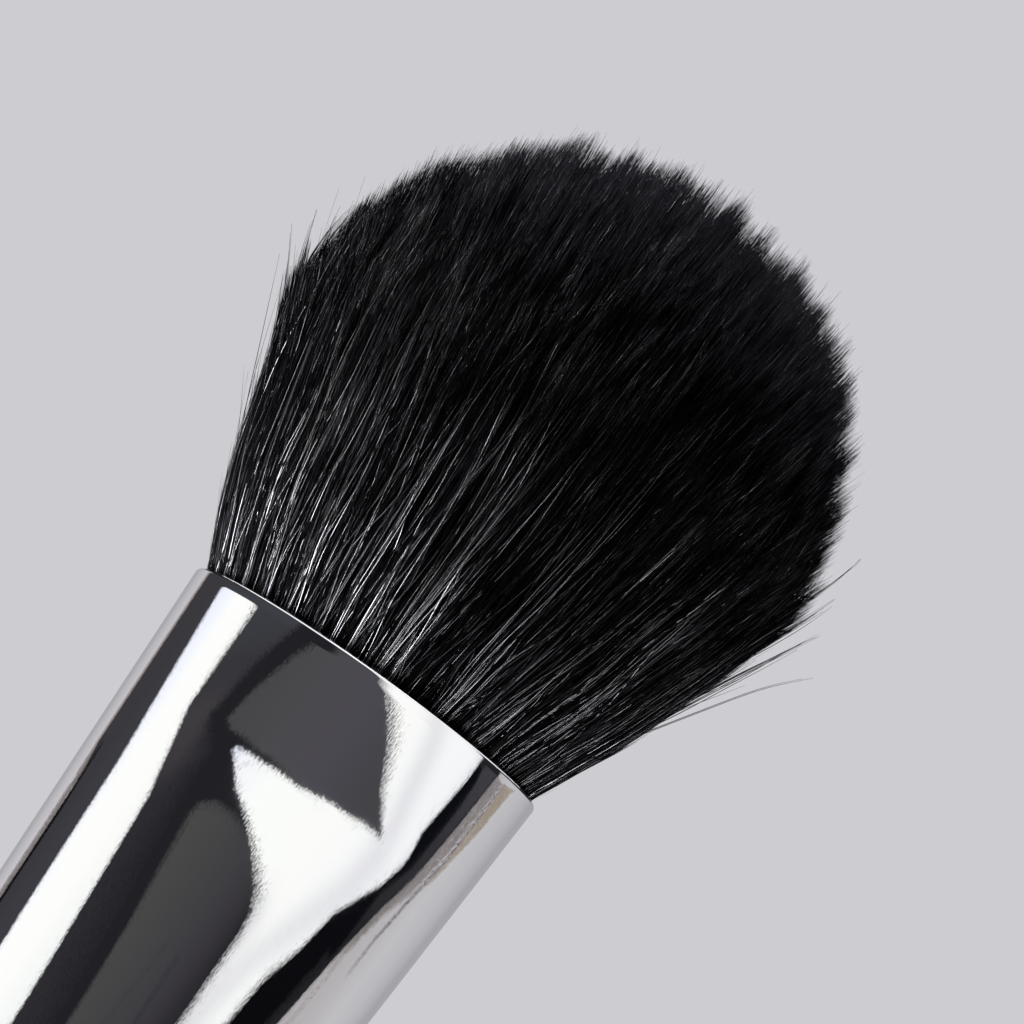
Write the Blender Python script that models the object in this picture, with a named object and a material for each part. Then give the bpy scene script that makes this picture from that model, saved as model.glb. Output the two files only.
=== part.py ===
"""Blush brush: a domed hair tuft, bound with thread and cast in epoxy in a polished conical ferrule, which is glued and crimped onto the tenon of a turned wooden handle.

Metres, +Z up. The origin is the middle of the flat turned on the handle's butt, and the brush stands head up along +Z, its axis of symmetry.
"""

import math

import bmesh
import bpy

MM = 0.001

# Heights above the butt flat, in millimetres
SHOULDER_Z = 100.0  # the handle's shoulder, which the ferrule comes down to
MOUTH_Z = 138.0  # the ferrule's mouth, where the hair comes out
TENON_TOP_Z = 121.0  # top of the turned tenon inside the ferrule
ROOT_Z = 124.2  # cut lower end of the hair bundle
CAST_LOW_Z = 121.6  # underside of the cast epoxy
CAST_TOP_Z = 131.0
GAP = 0.3  # clearance kept between pieces that touch on the real brush

# Ferrule, in millimetres
MOUTH_R = 11.0  # outer radius at the mouth, before its edge is rounded
CONE = 0.0447  # radius lost for each millimetre below the mouth
WALL = 0.5
LIP_R = 0.42  # rounding of the mouth's outer edge
CRIMP_Z = (104.5, 107.6)  # the two rolled crimps
CRIMP_DEPTH = 0.45
CRIMP_HALF = 0.8

# Handle, in millimetres
BUTT_R = 7.0
BUTT_ROUND = 1.2  # rounding of the butt's edge, which leaves the flat that the brush stands on
BELLY = 0.25  # swell over a straight taper, halfway up
SHOULDER_R = 9.15
TENON_R = 8.3
GROOVE_R = 7.9  # groove in the tenon that takes the crimps

# Hair bundle, in millimetres, with "rise" for a height above the mouth
ROOT_R = 8.7
NECK_R = 10.2  # where it fills the mouth
FLARE_A, FLARE_B, FLARE_C = 10.4, 0.50, 0.0085  # outer hairs: a + b s - c s^2
DOME_RISE = 31.8  # tip of the dome above the mouth
DOME_CENTRE = 13.2
DOME_R = 16.5
DOME_POWER = 2.2
BLEND_POWER = 40.0  # how tightly the flare turns into the dome
THREAD_D = 0.5
THREAD_PITCH = 0.72
THREAD_TURNS = 5
THREAD_R = 8.45  # to the middle of the thread
THREAD_LOW_Z = 125.8

SIDES = 48


def ferrule_r(z):
    """Outer radius of the ferrule's cone at a height, without its crimps."""
    return MOUTH_R - CONE * (MOUTH_Z - z)


def crimp(z):
    """How far a rolled crimp pushes the wall in at a height."""
    depth = 0.0
    for centre in CRIMP_Z:
        u = (z - centre) / CRIMP_HALF
        if abs(u) < 1:
            depth += CRIMP_DEPTH * 0.5 * (1 + math.cos(math.pi * u))
    return depth


def handle_r(z):
    """Radius of the handle between the rounding of its butt and its shoulder."""
    u = (z - BUTT_ROUND) / (SHOULDER_Z - BUTT_ROUND)
    return BUTT_R + (SHOULDER_R - BUTT_R) * u + BELLY * math.sin(math.pi * u)


def tuft_r(rise):
    """Radius of the head at a height above the mouth: the outer hairs' flare, cut off by the dome."""
    flare = FLARE_A + FLARE_B * rise - FLARE_C * rise * rise
    u = max(0.0, (rise - DOME_CENTRE) / (DOME_RISE - DOME_CENTRE))
    dome = DOME_R * max(1e-9, 1 - u**DOME_POWER) ** (1 / DOME_POWER)
    return (flare**-BLEND_POWER + dome**-BLEND_POWER) ** (-1 / BLEND_POWER)


def material(name, colour, roughness, metallic=0.0, coat=0.0):
    made = bpy.data.materials.new(name)
    made.use_nodes = True
    shader = made.node_tree.nodes["Principled BSDF"]
    shader.inputs["Base Color"].default_value = (*colour, 1.0)
    shader.inputs["Roughness"].default_value = roughness
    shader.inputs["Metallic"].default_value = metallic
    shader.inputs["Coat Weight"].default_value = coat
    made.diffuse_color = (*colour, 1.0)
    return made


def place(name, data, low_z, made, parent, sharp=35.0):
    """Links a piece modelled from z = 0, with its low end at low_z millimetres."""
    data.materials.append(made)
    piece = bpy.data.objects.new(name, data)
    piece.location = (0, 0, low_z * MM)
    piece.parent = parent
    bpy.context.scene.collection.objects.link(piece)
    if isinstance(data, bpy.types.Mesh):
        data.shade_smooth()
        data.set_sharp_from_angle(angle=math.radians(sharp))
    return piece


def turned(name, profile, low_z, closed=False):
    """A turned mesh. profile is (radius, height) in millimetres, from the axis at the bottom round to the axis at the top, or a closed loop for a tube."""
    bm = bmesh.new()
    corners = [bm.verts.new((r * MM, 0, (z - low_z) * MM)) for r, z in profile]
    ends = list(zip(corners, corners[1:]))
    if closed:
        ends.append((corners[-1], corners[0]))
    edges = [bm.edges.new(pair) for pair in ends]
    bmesh.ops.spin(
        bm,
        geom=corners + edges,
        cent=(0, 0, 0),
        axis=(0, 0, 1),
        angle=2 * math.pi,
        steps=SIDES,
        use_merge=True,
    )
    bmesh.ops.remove_doubles(bm, verts=bm.verts[:], dist=1e-6)
    bmesh.ops.recalc_face_normals(bm, faces=bm.faces[:])
    mesh = bpy.data.meshes.new(name)
    bm.to_mesh(mesh)
    bm.free()
    return mesh


def rounded(centre_r, centre_z, radius, start_deg, end_deg, steps):
    """Points of a rounded corner, as (radius, height). 0 degrees points away from the axis and 90 up."""
    found = []
    for i in range(steps + 1):
        a = math.radians(start_deg + (end_deg - start_deg) * i / steps)
        found.append(
            (centre_r + radius * math.cos(a), centre_z + radius * math.sin(a))
        )
    return found


def make_handle(parent, made):
    """Turned handle and its tenon, one piece of wood, with a groove in the tenon that takes the crimps."""
    profile = [(0.0, 0.0)]
    profile += rounded(BUTT_R - BUTT_ROUND, BUTT_ROUND, BUTT_ROUND, -90, 0, 4)
    steps = 12
    top = SHOULDER_Z - 0.4
    for i in range(1, steps + 1):
        z = BUTT_ROUND + (top - BUTT_ROUND) * i / steps
        profile.append((handle_r(z), z))
    profile += [
        (SHOULDER_R - 0.12, SHOULDER_Z - 0.12),
        (SHOULDER_R - 0.4, SHOULDER_Z),
        (TENON_R, SHOULDER_Z),
        (TENON_R, CRIMP_Z[0] - 1.3),
        (GROOVE_R, CRIMP_Z[0] - 0.9),
        (GROOVE_R, CRIMP_Z[1] + 0.9),
        (TENON_R, CRIMP_Z[1] + 1.3),
        (TENON_R, TENON_TOP_Z - 1.0),
        (TENON_R - 1.0, TENON_TOP_Z),
        (0.0, TENON_TOP_Z),
    ]
    return place("handle", turned("handle", profile, 0.0), 0.0, made, parent)


def make_ferrule(parent, made):
    """Drawn conical tube with a rounded mouth and two rolled crimps."""
    low = SHOULDER_Z + GAP
    heights = [low + 0.25]
    for centre in CRIMP_Z:
        heights += [centre + CRIMP_HALF * k / 2 for k in range(-2, 3)]
    heights += [114.0, 122.0, 130.0]
    outer = [(ferrule_r(z) - crimp(z), z) for z in heights]
    inner = [(ferrule_r(z) - crimp(z) - WALL, z) for z in reversed(heights[1:])]
    lip_z = MOUTH_Z - LIP_R
    lip = rounded(ferrule_r(lip_z) - LIP_R, lip_z, LIP_R, 0, 90, 4)
    inside = ferrule_r(MOUTH_Z) - WALL
    profile = (
        [(ferrule_r(low) - WALL, low), (ferrule_r(low) - 0.15, low)]
        + outer
        + lip
        + [(inside, MOUTH_Z - 0.12)]
        + inner
    )
    mesh = turned("ferrule", profile, low, closed=True)
    return place("ferrule", mesh, low, made, parent)


def make_tenon_adhesive(parent, made):
    """The set glue between the straight tenon and the conical ferrule, a tapering sleeve above the crimps."""
    low, top = CRIMP_Z[1] + 1.7, TENON_TOP_Z - 1.2
    inner = TENON_R + GAP
    profile = [
        (inner, low),
        (ferrule_r(low) - WALL - GAP, low),
        (ferrule_r(top) - WALL - GAP, top),
        (inner, top),
    ]
    mesh = turned("tenon_adhesive", profile, low, closed=True)
    return place("tenon_adhesive", mesh, low, made, parent)


def make_root_adhesive(parent, made):
    """The epoxy cast in the ferrule, a cup that the bound hair roots stand in."""
    cup_r = ROOT_R + GAP
    floor = ROOT_Z - GAP
    profile = [
        (0.0, CAST_LOW_Z),
        (ferrule_r(CAST_LOW_Z) - WALL - GAP - 0.4, CAST_LOW_Z),
        (ferrule_r(CAST_LOW_Z + 0.4) - WALL - GAP, CAST_LOW_Z + 0.4),
        (ferrule_r(CAST_TOP_Z) - WALL - GAP, CAST_TOP_Z),
        (cup_r + 0.25, CAST_TOP_Z),
        (cup_r, CAST_TOP_Z - 0.4),
        (cup_r, floor),
        (0.0, floor),
    ]
    mesh = turned("root_adhesive", profile, CAST_LOW_Z)
    return place("root_adhesive", mesh, CAST_LOW_Z, made, parent)


def make_tuft(parent, made):
    """The hair bundle as one solid: bound root, neck that fills the ferrule, flare and dome."""
    groove_r = THREAD_R - THREAD_D / 2 - GAP
    groove_low = THREAD_LOW_Z - THREAD_D / 2 - GAP
    groove_top = THREAD_LOW_Z + THREAD_PITCH * THREAD_TURNS + THREAD_D / 2 + GAP
    profile = [
        (0.0, ROOT_Z),
        (ROOT_R - 0.3, ROOT_Z),
        (ROOT_R, ROOT_Z + 0.3),
        (ROOT_R, groove_low - 0.3),
        (groove_r, groove_low),
        (groove_r, groove_top),
        (ROOT_R, groove_top + 0.3),
        (ROOT_R, CAST_TOP_Z + 0.1),
        (ferrule_r(CAST_TOP_Z + 1.4) - WALL - GAP, CAST_TOP_Z + 1.4),
        (NECK_R, MOUTH_Z - 0.9),
        (NECK_R, MOUTH_Z),
    ]
    turn = 17.0  # rise where the flare gives way to the dome
    steps = 10
    for i in range(steps + 1):
        rise = 0.4 + (turn - 0.4) * i / steps
        profile.append((tuft_r(rise), MOUTH_Z + rise))
    steps = 13
    for i in range(1, steps):
        rise = turn + (DOME_RISE - turn) * math.sin(math.pi / 2 * i / steps)
        profile.append((tuft_r(rise), MOUTH_Z + rise))
    profile.append((0.0, MOUTH_Z + DOME_RISE))
    mesh = turned("tuft", profile, ROOT_Z)
    return place("tuft", mesh, ROOT_Z, made, parent, sharp=50.0)


def make_binding(parent, made):
    """Thread wound tight round the root of the hair bundle."""
    per_turn = 28
    count = per_turn * THREAD_TURNS + 1
    curve = bpy.data.curves.new("binding_thread", "CURVE")
    curve.dimensions = "3D"
    curve.bevel_depth = THREAD_D / 2 * MM
    curve.bevel_resolution = 1
    curve.use_fill_caps = True
    spline = curve.splines.new("POLY")
    spline.points.add(count - 1)
    for i in range(count):
        a = 2 * math.pi * i / per_turn
        spline.points[i].co = (
            THREAD_R * math.cos(a) * MM,
            THREAD_R * math.sin(a) * MM,
            THREAD_PITCH * i / per_turn * MM,
            1.0,
        )
    return place("binding_thread", curve, THREAD_LOW_Z, made, parent)


def main():
    for old in list(bpy.data.objects):
        bpy.data.objects.remove(old)
    brush = bpy.data.objects.new("blush_brush", None)
    brush.empty_display_size = 0.02
    bpy.context.scene.collection.objects.link(brush)

    lacquer = material("black_lacquer", (0.012, 0.012, 0.014), 0.12, coat=1.0)
    chrome = material("polished_chrome", (0.86, 0.87, 0.89), 0.04, metallic=1.0)
    hair = material("black_hair", (0.010, 0.010, 0.012), 0.42)
    epoxy = material("epoxy", (0.62, 0.50, 0.26), 0.25)
    glue = material("wood_glue", (0.78, 0.72, 0.55), 0.4)
    thread = material("nylon_thread", (0.80, 0.78, 0.72), 0.5)

    make_handle(brush, lacquer)
    make_ferrule(brush, chrome)
    make_tenon_adhesive(brush, glue)
    make_root_adhesive(brush, epoxy)
    make_tuft(brush, hair)
    make_binding(brush, thread)


main()
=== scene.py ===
import math

import bmesh
import bpy
import numpy as np
from mathutils import Matrix, Vector, kdtree
from mathutils.geometry import delaunay_2d_cdt


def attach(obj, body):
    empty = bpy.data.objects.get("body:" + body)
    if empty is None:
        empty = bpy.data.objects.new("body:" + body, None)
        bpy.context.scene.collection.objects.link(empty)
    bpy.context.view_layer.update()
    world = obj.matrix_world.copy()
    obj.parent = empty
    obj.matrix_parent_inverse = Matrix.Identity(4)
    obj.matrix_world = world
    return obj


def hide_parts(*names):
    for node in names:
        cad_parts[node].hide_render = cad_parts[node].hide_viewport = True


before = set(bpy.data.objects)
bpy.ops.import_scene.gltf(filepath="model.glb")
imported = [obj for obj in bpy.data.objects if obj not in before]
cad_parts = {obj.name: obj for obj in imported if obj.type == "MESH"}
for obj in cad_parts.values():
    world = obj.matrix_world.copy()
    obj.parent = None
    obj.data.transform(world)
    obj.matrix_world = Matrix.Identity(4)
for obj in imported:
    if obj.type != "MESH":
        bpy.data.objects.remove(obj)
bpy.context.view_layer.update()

MM = 0.001

# Millimetres, as in the CAD source
SHOULDER_Z = 100.0
MOUTH_Z = 138.0
TENON_TOP_Z = 121.0
GAP = 0.3
MOUTH_R = 11.0
CONE = 0.0447
WALL = 0.5
CRIMP_Z = (104.5, 107.6)
CRIMP_DEPTH = 0.45
CRIMP_HALF = 0.8
BUTT_R = 7.0
BUTT_ROUND = 1.2
BELLY = 0.25
SHOULDER_R = 9.15
TENON_R = 8.3
GROOVE_R = 7.9
DOME_RISE = 31.8
DOME_CENTRE = 13.2
DOME_R = 16.5
DOME_POWER = 2.2


# ------------------------------------------------------------------ camera


def make_camera():
    """The photograph's view: a long lens close to the head, with the brush's axis 54 degrees above the image's horizontal and its tip 7.8 degrees away from the camera."""
    tilt = math.radians(7.77)
    focal_px = 6000.0
    depth = 318.8 * MM
    mouth_px = (366.5, 688.5)  # where the middle of the ferrule's mouth lies in 1024 x 1024
    turn = math.atan2(0.8137, 0.5813)
    forward = Vector((0, math.cos(tilt), math.sin(tilt)))
    side = Vector((1, 0, 0))
    rise = Vector((0, -math.sin(tilt), math.cos(tilt)))
    right = side * math.sin(turn) + rise * math.cos(turn)
    up = rise * math.sin(turn) - side * math.cos(turn)
    right.normalize()
    up.normalize()
    across = (mouth_px[0] - 512) / focal_px
    above = (512 - mouth_px[1]) / focal_px
    mouth = Vector((0, 0, MOUTH_Z * MM))
    place = mouth - depth * (forward + across * right + above * up)
    data = bpy.data.cameras.new("photo_camera")
    data.sensor_width = 36.0
    data.lens = focal_px * 36.0 / 1024
    data.clip_start = 0.01
    data.clip_end = 50.0
    camera = bpy.data.objects.new("photo_camera", data)
    axes = Matrix((right, up, -forward)).transposed().to_4x4()
    camera.matrix_world = Matrix.Translation(place) @ axes
    bpy.context.scene.collection.objects.link(camera)
    bpy.context.scene.camera = camera
    return camera


# --------------------------------------------------------------- materials


def new_material(name):
    made = bpy.data.materials.new(name)
    made.use_nodes = True
    nodes, links = made.node_tree.nodes, made.node_tree.links
    return made, nodes, links, nodes["Principled BSDF"]


def stretched(nodes, links, scale):
    """Object coordinates, scaled along each axis."""
    place = nodes.new("ShaderNodeTexCoord")
    mapping = nodes.new("ShaderNodeMapping")
    mapping.inputs["Scale"].default_value = scale
    links.new(place.outputs["Object"], mapping.inputs["Vector"])
    return mapping.outputs["Vector"]


def noise(nodes, links, vector, scale, detail=2.0, rough=0.5):
    node = nodes.new("ShaderNodeTexNoise")
    node.inputs["Scale"].default_value = scale
    node.inputs["Detail"].default_value = detail
    node.inputs["Roughness"].default_value = rough
    links.new(vector, node.inputs["Vector"])
    return node.outputs["Fac"]


def bump(nodes, links, height, distance, strength, below=None):
    node = nodes.new("ShaderNodeBump")
    node.inputs["Distance"].default_value = distance
    node.inputs["Strength"].default_value = strength
    links.new(height, node.inputs["Height"])
    if below is not None:
        links.new(below, node.inputs["Normal"])
    return node.outputs["Normal"]


def spread(nodes, links, value, low, high):
    """Maps a noise to low..high."""
    node = nodes.new("ShaderNodeMapRange")
    node.inputs["From Min"].default_value = 0.3
    node.inputs["From Max"].default_value = 0.7
    node.inputs["To Min"].default_value = low
    node.inputs["To Max"].default_value = high
    links.new(value, node.inputs["Value"])
    return node.outputs["Result"]


def chrome_material():
    """Polished plating with the fine drawn texture of the tube, longer along the axis than across it, and faint orange peel."""
    made, nodes, links, shader = new_material("polished_chrome")
    shader.inputs["Base Color"].default_value = (0.93, 0.935, 0.95, 1)
    shader.inputs["Metallic"].default_value = 1.0
    fine = noise(nodes, links, stretched(nodes, links, (1, 1, 0.45)), 9000, 1.0)
    peel = noise(nodes, links, stretched(nodes, links, (1, 1, 0.3)), 420, 1.0)
    smear = noise(nodes, links, stretched(nodes, links, (1, 1, 0.2)), 150, 2.0)
    links.new(spread(nodes, links, smear, 0.008, 0.016), shader.inputs["Roughness"])
    first = bump(nodes, links, peel, 0.00001, 0.015)
    links.new(
        bump(nodes, links, fine, 0.000001, 0.07, below=first), shader.inputs["Normal"]
    )
    return made


def lacquer_material():
    """Black lacquer over turned wood: a clear coat with faint orange peel over a base that varies a little along the grain."""
    made, nodes, links, shader = new_material("black_lacquer")
    grain = noise(nodes, links, stretched(nodes, links, (1, 1, 0.06)), 900, 4.0, 0.6)
    ramp = nodes.new("ShaderNodeValToRGB")
    ramp.color_ramp.elements[0].position = 0.35
    ramp.color_ramp.elements[0].color = (0.006, 0.006, 0.007, 1)
    ramp.color_ramp.elements[1].position = 0.7
    ramp.color_ramp.elements[1].color = (0.013, 0.012, 0.012, 1)
    links.new(grain, ramp.inputs["Fac"])
    links.new(ramp.outputs["Color"], shader.inputs["Base Color"])
    smear = noise(nodes, links, stretched(nodes, links, (1, 1, 0.5)), 60, 3.0)
    links.new(spread(nodes, links, smear, 0.16, 0.24), shader.inputs["Roughness"])
    shader.inputs["Coat Weight"].default_value = 1.0
    shader.inputs["Coat Roughness"].default_value = 0.04
    shader.inputs["Coat IOR"].default_value = 1.52
    peel = noise(nodes, links, stretched(nodes, links, (1, 1, 0.7)), 520, 1.0)
    links.new(bump(nodes, links, peel, 0.00004, 0.12), shader.inputs["Normal"])
    return made


def adhesive_material(name, light, dark, roughness, scale):
    """Set glue: clouded colour and a slumped, slightly uneven skin."""
    made, nodes, links, shader = new_material(name)
    cloud = noise(nodes, links, stretched(nodes, links, (1, 1, 1)), scale, 4.0, 0.6)
    ramp = nodes.new("ShaderNodeValToRGB")
    ramp.color_ramp.elements[0].position = 0.3
    ramp.color_ramp.elements[0].color = (*dark, 1)
    ramp.color_ramp.elements[1].position = 0.7
    ramp.color_ramp.elements[1].color = (*light, 1)
    links.new(cloud, ramp.inputs["Fac"])
    links.new(ramp.outputs["Color"], shader.inputs["Base Color"])
    shader.inputs["Roughness"].default_value = roughness
    links.new(bump(nodes, links, cloud, 0.0003, 0.5), shader.inputs["Normal"])
    return made


def thread_material():
    """Twisted nylon: slanting plies as bands in bump, with painted shade that darkens the colour in the grooves between
    them.
    """
    made, nodes, links, shader = new_material("nylon_thread")
    wave = nodes.new("ShaderNodeTexWave")
    wave.bands_direction = "DIAGONAL"
    wave.inputs["Scale"].default_value = 900
    wave.inputs["Distortion"].default_value = 1.5
    links.new(stretched(nodes, links, (1, 1, 1)), wave.inputs["Vector"])
    # painted shade: the colour darkens where the plies' bump is low, in the grooves
    ramp = nodes.new("ShaderNodeValToRGB")
    ramp.color_ramp.elements[0].color = (0.55, 0.53, 0.48, 1)
    ramp.color_ramp.elements[1].color = (0.84, 0.82, 0.76, 1)
    links.new(wave.outputs["Fac"], ramp.inputs["Fac"])
    links.new(ramp.outputs["Color"], shader.inputs["Base Color"])
    shader.inputs["Roughness"].default_value = 0.5
    links.new(
        bump(nodes, links, wave.outputs["Fac"], 0.00006, 0.6), shader.inputs["Normal"]
    )
    return made


def core_material():
    """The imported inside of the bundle, which shows only as the dark between hairs."""
    made, nodes, links, shader = new_material("packed_hair")
    streak = noise(nodes, links, stretched(nodes, links, (1, 1, 0.05)), 4000, 2.0)
    ramp = nodes.new("ShaderNodeValToRGB")
    ramp.color_ramp.elements[0].position = 0.35
    ramp.color_ramp.elements[0].color = (0.0008, 0.0008, 0.0010, 1)
    ramp.color_ramp.elements[1].position = 0.75
    ramp.color_ramp.elements[1].color = (0.004, 0.004, 0.0046, 1)
    links.new(streak, ramp.inputs["Fac"])
    links.new(ramp.outputs["Color"], shader.inputs["Base Color"])
    shader.inputs["Roughness"].default_value = 0.8
    shader.inputs["Specular IOR Level"].default_value = 0.1
    links.new(bump(nodes, links, streak, 0.0002, 0.8), shader.inputs["Normal"])
    return made


# (share of the hairs, colour, roughness, specular level)
HAIR_KINDS = (
    (0.68, (0.0005, 0.0005, 0.0007), 0.50, 0.01),
    (0.16, (0.0008, 0.0008, 0.0011), 0.40, 0.10),
    (0.09, (0.0020, 0.0020, 0.0024), 0.31, 0.42),
    (0.05, (0.0045, 0.0042, 0.0045), 0.26, 1.00),
    (0.02, (0.0180, 0.0155, 0.0140), 0.22, 1.00),
    # the last kind: dull fine tips in a lighter bluish grey, which is painted haze of light in the fine tips
    (0.00, (0.0180, 0.0178, 0.0215), 0.60, 0.05),
)
TIP_KIND = 5  # the dull fine tips that the dome is made of


def hair_materials():
    """Black hair, in a few plain shades and glosses that are dealt out hair by hair."""
    made = []
    for i, (_, colour, roughness, level) in enumerate(HAIR_KINDS):
        material, _, _, shader = new_material(f"black_hair_{i + 1}")
        shader.inputs["Base Color"].default_value = (*colour, 1)
        shader.inputs["Roughness"].default_value = roughness
        shader.inputs["Specular IOR Level"].default_value = level
        made.append(material)
    return made


# ------------------------------------------------------------ turned pieces


def ferrule_r(z):
    return MOUTH_R - CONE * (MOUTH_Z - z)


def crimp(z):
    depth = 0.0
    for centre in CRIMP_Z:
        u = (z - centre) / CRIMP_HALF
        if abs(u) < 1:
            depth += CRIMP_DEPTH * 0.5 * (1 + math.cos(math.pi * u))
    return depth


def handle_r(z):
    u = (z - BUTT_ROUND) / (SHOULDER_Z - BUTT_ROUND)
    return BUTT_R + (SHOULDER_R - BUTT_R) * u + BELLY * math.sin(math.pi * u)


def rounded(centre_r, centre_z, radius, start_deg, end_deg, steps):
    """Points of a rounded corner, as (radius, height). 0 degrees points away from the axis and 90 up."""
    found = []
    for i in range(steps + 1):
        a = math.radians(start_deg + (end_deg - start_deg) * i / steps)
        found.append(
            (centre_r + radius * math.cos(a), centre_z + radius * math.sin(a))
        )
    return found


def turned(name, profile, material, closed=False, sides=256, sharp=40.0):
    """A smooth turned mesh. profile is (radius, height) in millimetres, from the axis round to the axis, or a closed loop for a tube."""
    bm = bmesh.new()
    corners = [bm.verts.new((r * MM, 0, z * MM)) for r, z in profile]
    ends = list(zip(corners, corners[1:]))
    if closed:
        ends.append((corners[-1], corners[0]))
    edges = [bm.edges.new(pair) for pair in ends]
    bmesh.ops.spin(
        bm,
        geom=corners + edges,
        cent=(0, 0, 0),
        axis=(0, 0, 1),
        angle=2 * math.pi,
        steps=sides,
        use_merge=True,
    )
    bmesh.ops.remove_doubles(bm, verts=bm.verts[:], dist=1e-7)
    bmesh.ops.recalc_face_normals(bm, faces=bm.faces[:])
    mesh = bpy.data.meshes.new(name)
    bm.to_mesh(mesh)
    bm.free()
    mesh.materials.append(material)
    mesh.shade_smooth()
    mesh.set_sharp_from_angle(angle=math.radians(sharp))
    piece = bpy.data.objects.new(name, mesh)
    bpy.context.scene.collection.objects.link(piece)
    return piece


def make_ferrule(material):
    """The drawn tube with its mouth turned slightly in, its rolled crimps, and a rounded lower edge."""
    low = SHOULDER_Z + GAP
    heights = [low + 0.25, low + 0.8, low + 1.8]
    for centre in CRIMP_Z:
        heights += [centre + CRIMP_HALF * k / 8 for k in range(-8, 9)]
    heights += [109.2, 110.5, 113.0, 117.0, 121.0, 125.0, 129.0, 132.5, 135.0, 136.6, 137.3]
    outer = [(ferrule_r(z) - crimp(z), z) for z in heights]
    inner = [
        (ferrule_r(z) - crimp(z) - WALL, z)
        for z in (134.0, 126.0, 118.0, 110.5)
        + tuple(c + CRIMP_HALF * k / 3 for c in reversed(CRIMP_Z) for k in range(3, -4, -1))
    ]
    foot = rounded(ferrule_r(low) - 0.2, low + 0.2, 0.2, -90, 0, 5)[:-1]
    lip = rounded(ferrule_r(MOUTH_Z - 0.25) - 0.24, MOUTH_Z - 0.24, 0.24, -2.5, 92, 14)
    inside = ferrule_r(MOUTH_Z) - WALL
    profile = (
        [(ferrule_r(low) - WALL, low)]
        + foot
        + outer
        + lip
        + [(inside + 0.015, MOUTH_Z - 0.03), (inside, MOUTH_Z - 0.1)]
        + inner
    )
    piece = turned("ferrule_shell", profile, material, closed=True)
    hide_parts("ferrule")
    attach(piece, "root")
    return piece


def make_handle(material):
    """The lacquered handle and its tenon."""
    profile = [(0.0, 0.0), (BUTT_R - BUTT_ROUND - 1.5, 0.0)]
    profile += rounded(BUTT_R - BUTT_ROUND, BUTT_ROUND, BUTT_ROUND, -90, 0, 12)
    steps = 60
    top = SHOULDER_Z - 0.45
    for i in range(1, steps + 1):
        z = BUTT_ROUND + (top - BUTT_ROUND) * i / steps
        profile.append((handle_r(z), z))
    profile += rounded(SHOULDER_R - 0.42, SHOULDER_Z - 0.42, 0.42, 10, 90, 7)
    profile += [
        (TENON_R, SHOULDER_Z),
        (TENON_R, CRIMP_Z[0] - 1.3),
        (GROOVE_R, CRIMP_Z[0] - 0.9),
        (GROOVE_R, CRIMP_Z[1] + 0.9),
        (TENON_R, CRIMP_Z[1] + 1.3),
        (TENON_R, TENON_TOP_Z - 1.0),
        (TENON_R - 1.0, TENON_TOP_Z),
        (0.0, TENON_TOP_Z),
    ]
    piece = turned("handle_body", profile, material, sides=192)
    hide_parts("handle")
    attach(piece, "root")
    return piece


# -------------------------------------------------------------------- hair

MOUTH_HAIR_R = 10.38  # where the outermost hairs leave the mouth


def hair_spread(rise):
    """Radius that the outermost hairs would reach at a height above the mouth if none were cut short by the dome."""
    up = np.maximum(rise, 0)
    return MOUTH_HAIR_R + 0.49 * up / (1 + 0.018 * up) - 0.02 * np.maximum(-rise, 0)


def dome_r(rise):
    u = np.clip((rise - DOME_CENTRE) / (DOME_RISE - DOME_CENTRE), 0, 1)
    return DOME_R * np.maximum(1e-9, 1 - u**DOME_POWER) ** (1 / DOME_POWER)


RISES = np.linspace(DOME_CENTRE, DOME_RISE, 800)
SHARES = dome_r(RISES) / hair_spread(RISES)


def tip_rise(share):
    """Height above the mouth at which a hair that ends at this share of the bundle's spread meets the dome."""
    return np.interp(-share, -SHARES, RISES)


def smooth(low, high, value):
    u = np.clip((value - low) / (high - low), 0, 1)
    return u * u * (3 - 2 * u)


def locks(points, rng, spacing, jitter=0.32):
    """Centres spacing apart (millimetres at the mouth) over the unit disc: the nearest to each point, the distance to it in millimetres, and which it is."""
    step = spacing / MOUTH_HAIR_R
    rows = int(2.3 / step) + 2
    i, j = np.meshgrid(np.arange(rows), np.arange(rows))
    x = (i + 0.5 * (j % 2)) * step - 1.15
    y = j * step * 0.866 - 1.15
    centres = np.stack([x.ravel(), y.ravel()], 1)
    centres += rng.normal(0, jitter * step, centres.shape)
    centres = centres[np.linalg.norm(centres, axis=1) < 1.0]
    tree = kdtree.KDTree(len(centres))
    for k, c in enumerate(centres):
        tree.insert((c[0], c[1], 0), k)
    tree.balance()
    found = [tree.find((p[0], p[1], 0)) for p in points]
    which = np.array([f[1] for f in found])
    away = np.array([f[2] for f in found]) * MOUTH_HAIR_R
    return centres[which], away, which, len(centres)


def drift(rng, root, rise, waves, across, along, size):
    """A smooth sideways displacement in millimetres that neighbouring hairs share. across and along are its wavelengths in millimetres."""
    total = np.zeros((*rise.shape, 2))
    x, y = root[:, 0:1] * MOUTH_HAIR_R, root[:, 1:2] * MOUTH_HAIR_R
    for _ in range(waves):
        heading, aim = rng.uniform(0, 2 * math.pi, 2)
        f = 1 / (across * rng.uniform(0.7, 1.7))
        g = 1 / (along * rng.uniform(0.7, 1.7))
        turn = f * (math.cos(heading) * x + math.sin(heading) * y)
        turn = 2 * math.pi * (turn + g * rise + rng.uniform(0, 1))
        push = np.sin(turn)[..., None]
        total += push * np.array([math.cos(aim), math.sin(aim)])
    return total * size * math.sqrt(2 / waves)


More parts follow.
